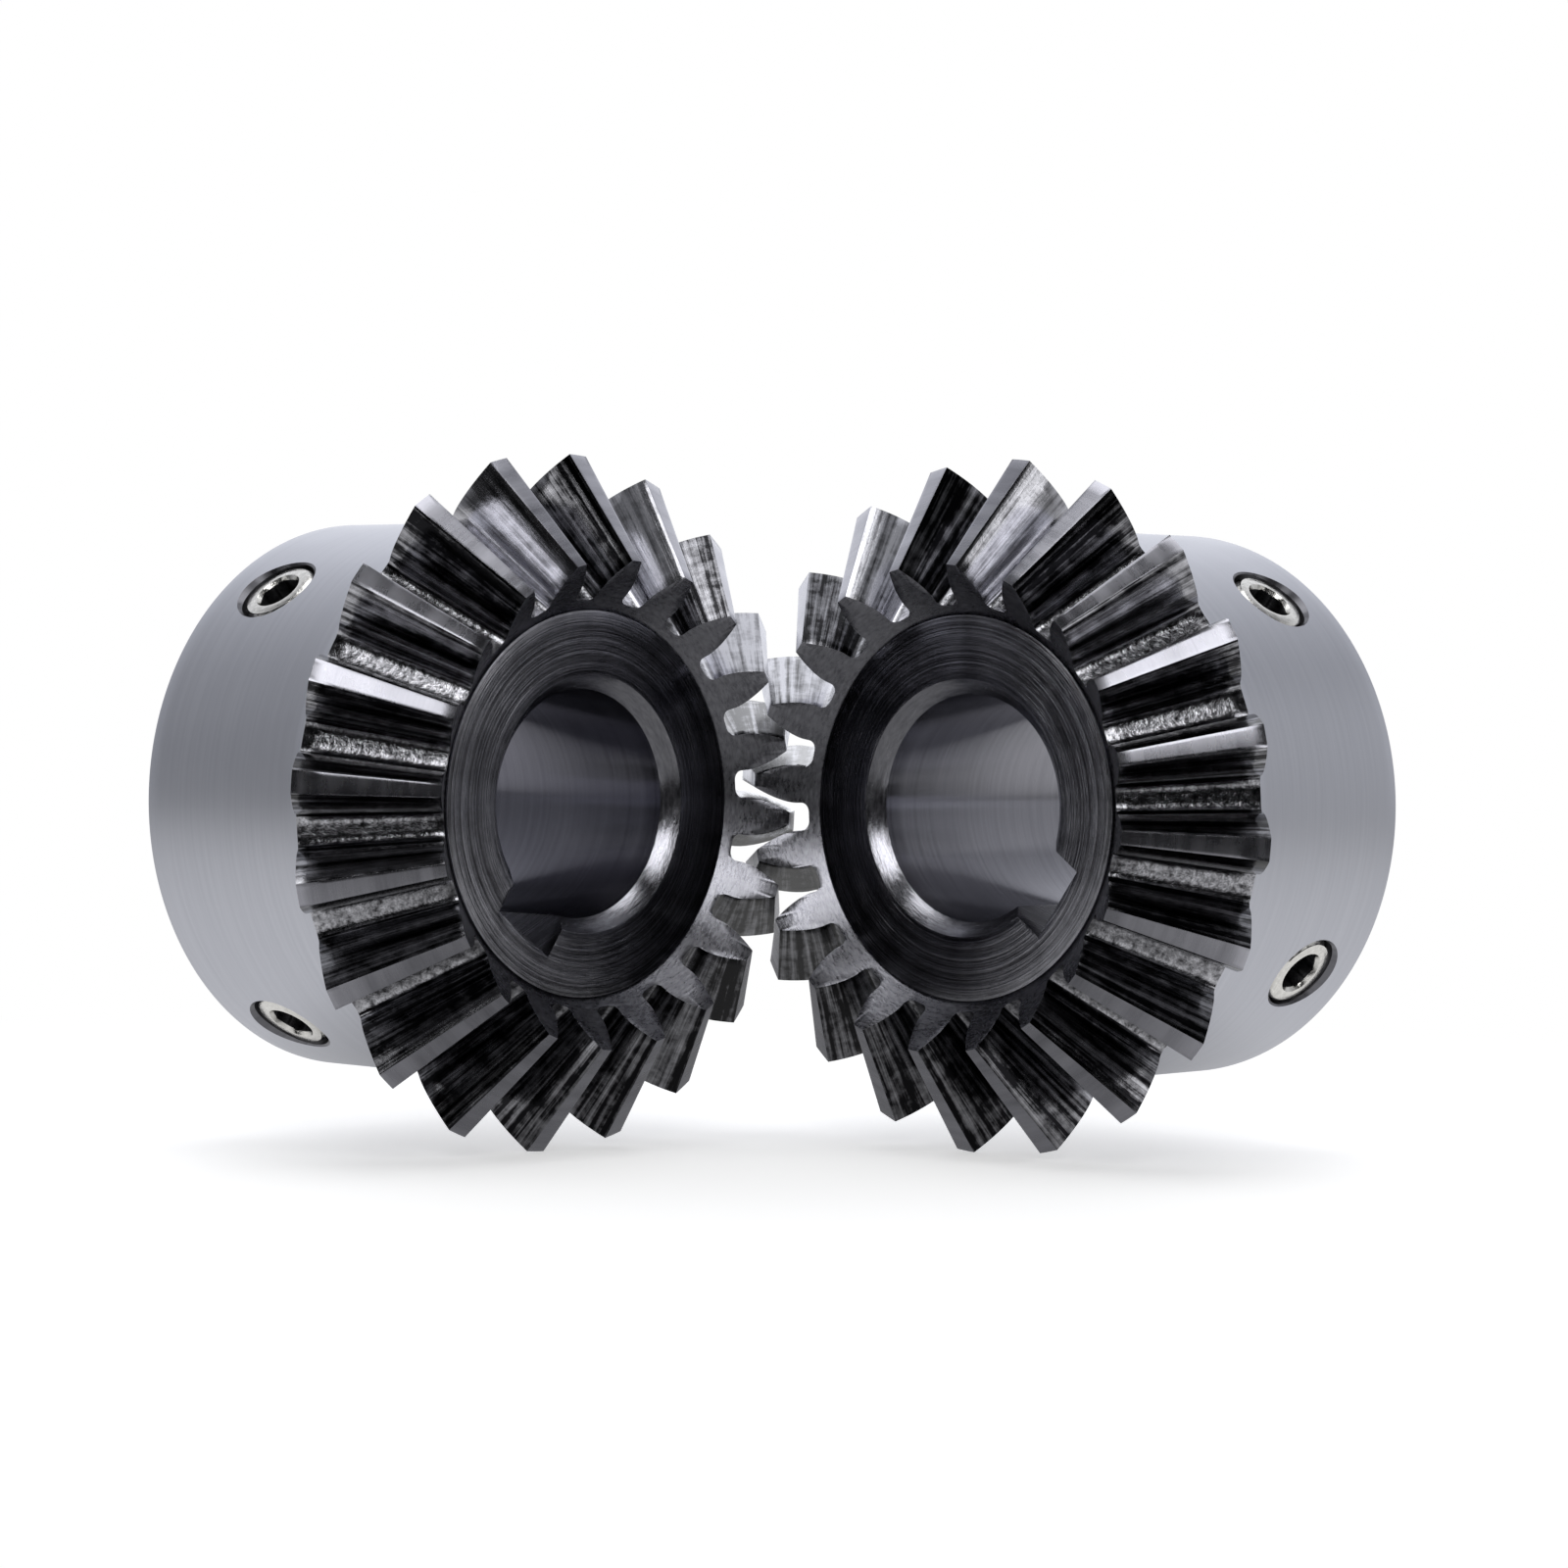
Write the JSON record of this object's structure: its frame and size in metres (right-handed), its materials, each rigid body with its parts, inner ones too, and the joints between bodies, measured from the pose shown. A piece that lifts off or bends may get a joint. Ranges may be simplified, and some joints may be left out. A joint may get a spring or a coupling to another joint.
{
  "type": "bevel gear pair",
  "caption": "Mitre pair of straight bevel gears with turned hubs, keyed bores and socket set screws, meshed with their shafts at a right angle.",
  "frame": {"origin": "where the two shaft axes cross; the apex of each pitch cone stands 0.4 mm from it, along its own shaft", "axes": "+X along gear A's shaft from the crossing towards its hub, +Y along gear B's shaft from the crossing towards its hub, +Z square to both shafts"},
  "size_m": [0.0598, 0.0598, 0.0424],
  "materials": {
    "gear_steel": "turned and ground hub, dark cut teeth",
    "screw_steel": "bright plated",
    "washer_steel": "ground"
  },
  "bodies": {
    "washers": {"thrust_washer_a": "washer_steel", "thrust_washer_b": "washer_steel"},
    "gear_a": {"gear_a": "gear_steel"},
    "gear_b": {"gear_b": "gear_steel"},
    "screw_a_plain": {"set_screw_a_plain": "screw_steel"},
    "screw_a_key": {"set_screw_a_key": "screw_steel"},
    "screw_b_plain": {"set_screw_b_plain": "screw_steel"},
    "screw_b_key": {"set_screw_b_key": "screw_steel"}
  },
  "joints": [
    {"name": "gear_a_spin", "type": "hinge", "parent": "washers", "child": "gear_a", "pos_m": [0, 0, 0], "axis": [1, 0, 0], "continuous": true},
    {"name": "gear_b_spin", "type": "hinge", "parent": "washers", "child": "gear_b", "pos_m": [0, 0, 0], "axis": [0, 1, 0], "continuous": true},
    {"name": "screw_a_plain_travel", "type": "slide", "parent": "gear_a", "child": "screw_a_plain", "axis": [0, 0.6428, -0.766], "range_m": [-0.0025, 0.0019]},
    {"name": "screw_a_key_travel", "type": "slide", "parent": "gear_a", "child": "screw_a_key", "axis": [0, 0.809, 0.5878], "range_m": [-0.0025, 0.0019]},
    {"name": "screw_b_plain_travel", "type": "slide", "parent": "gear_b", "child": "screw_b_plain", "axis": [0.6561, 0, -0.7547], "range_m": [-0.0025, 0.0019]},
    {"name": "screw_b_key_travel", "type": "slide", "parent": "gear_b", "child": "screw_b_key", "axis": [0.5736, 0, 0.8192], "range_m": [-0.0025, 0.0019]}
  ],
  "couplings": [
    {"joint": "gear_b_spin", "follows": "gear_a_spin", "ratio": -1}
  ]
}
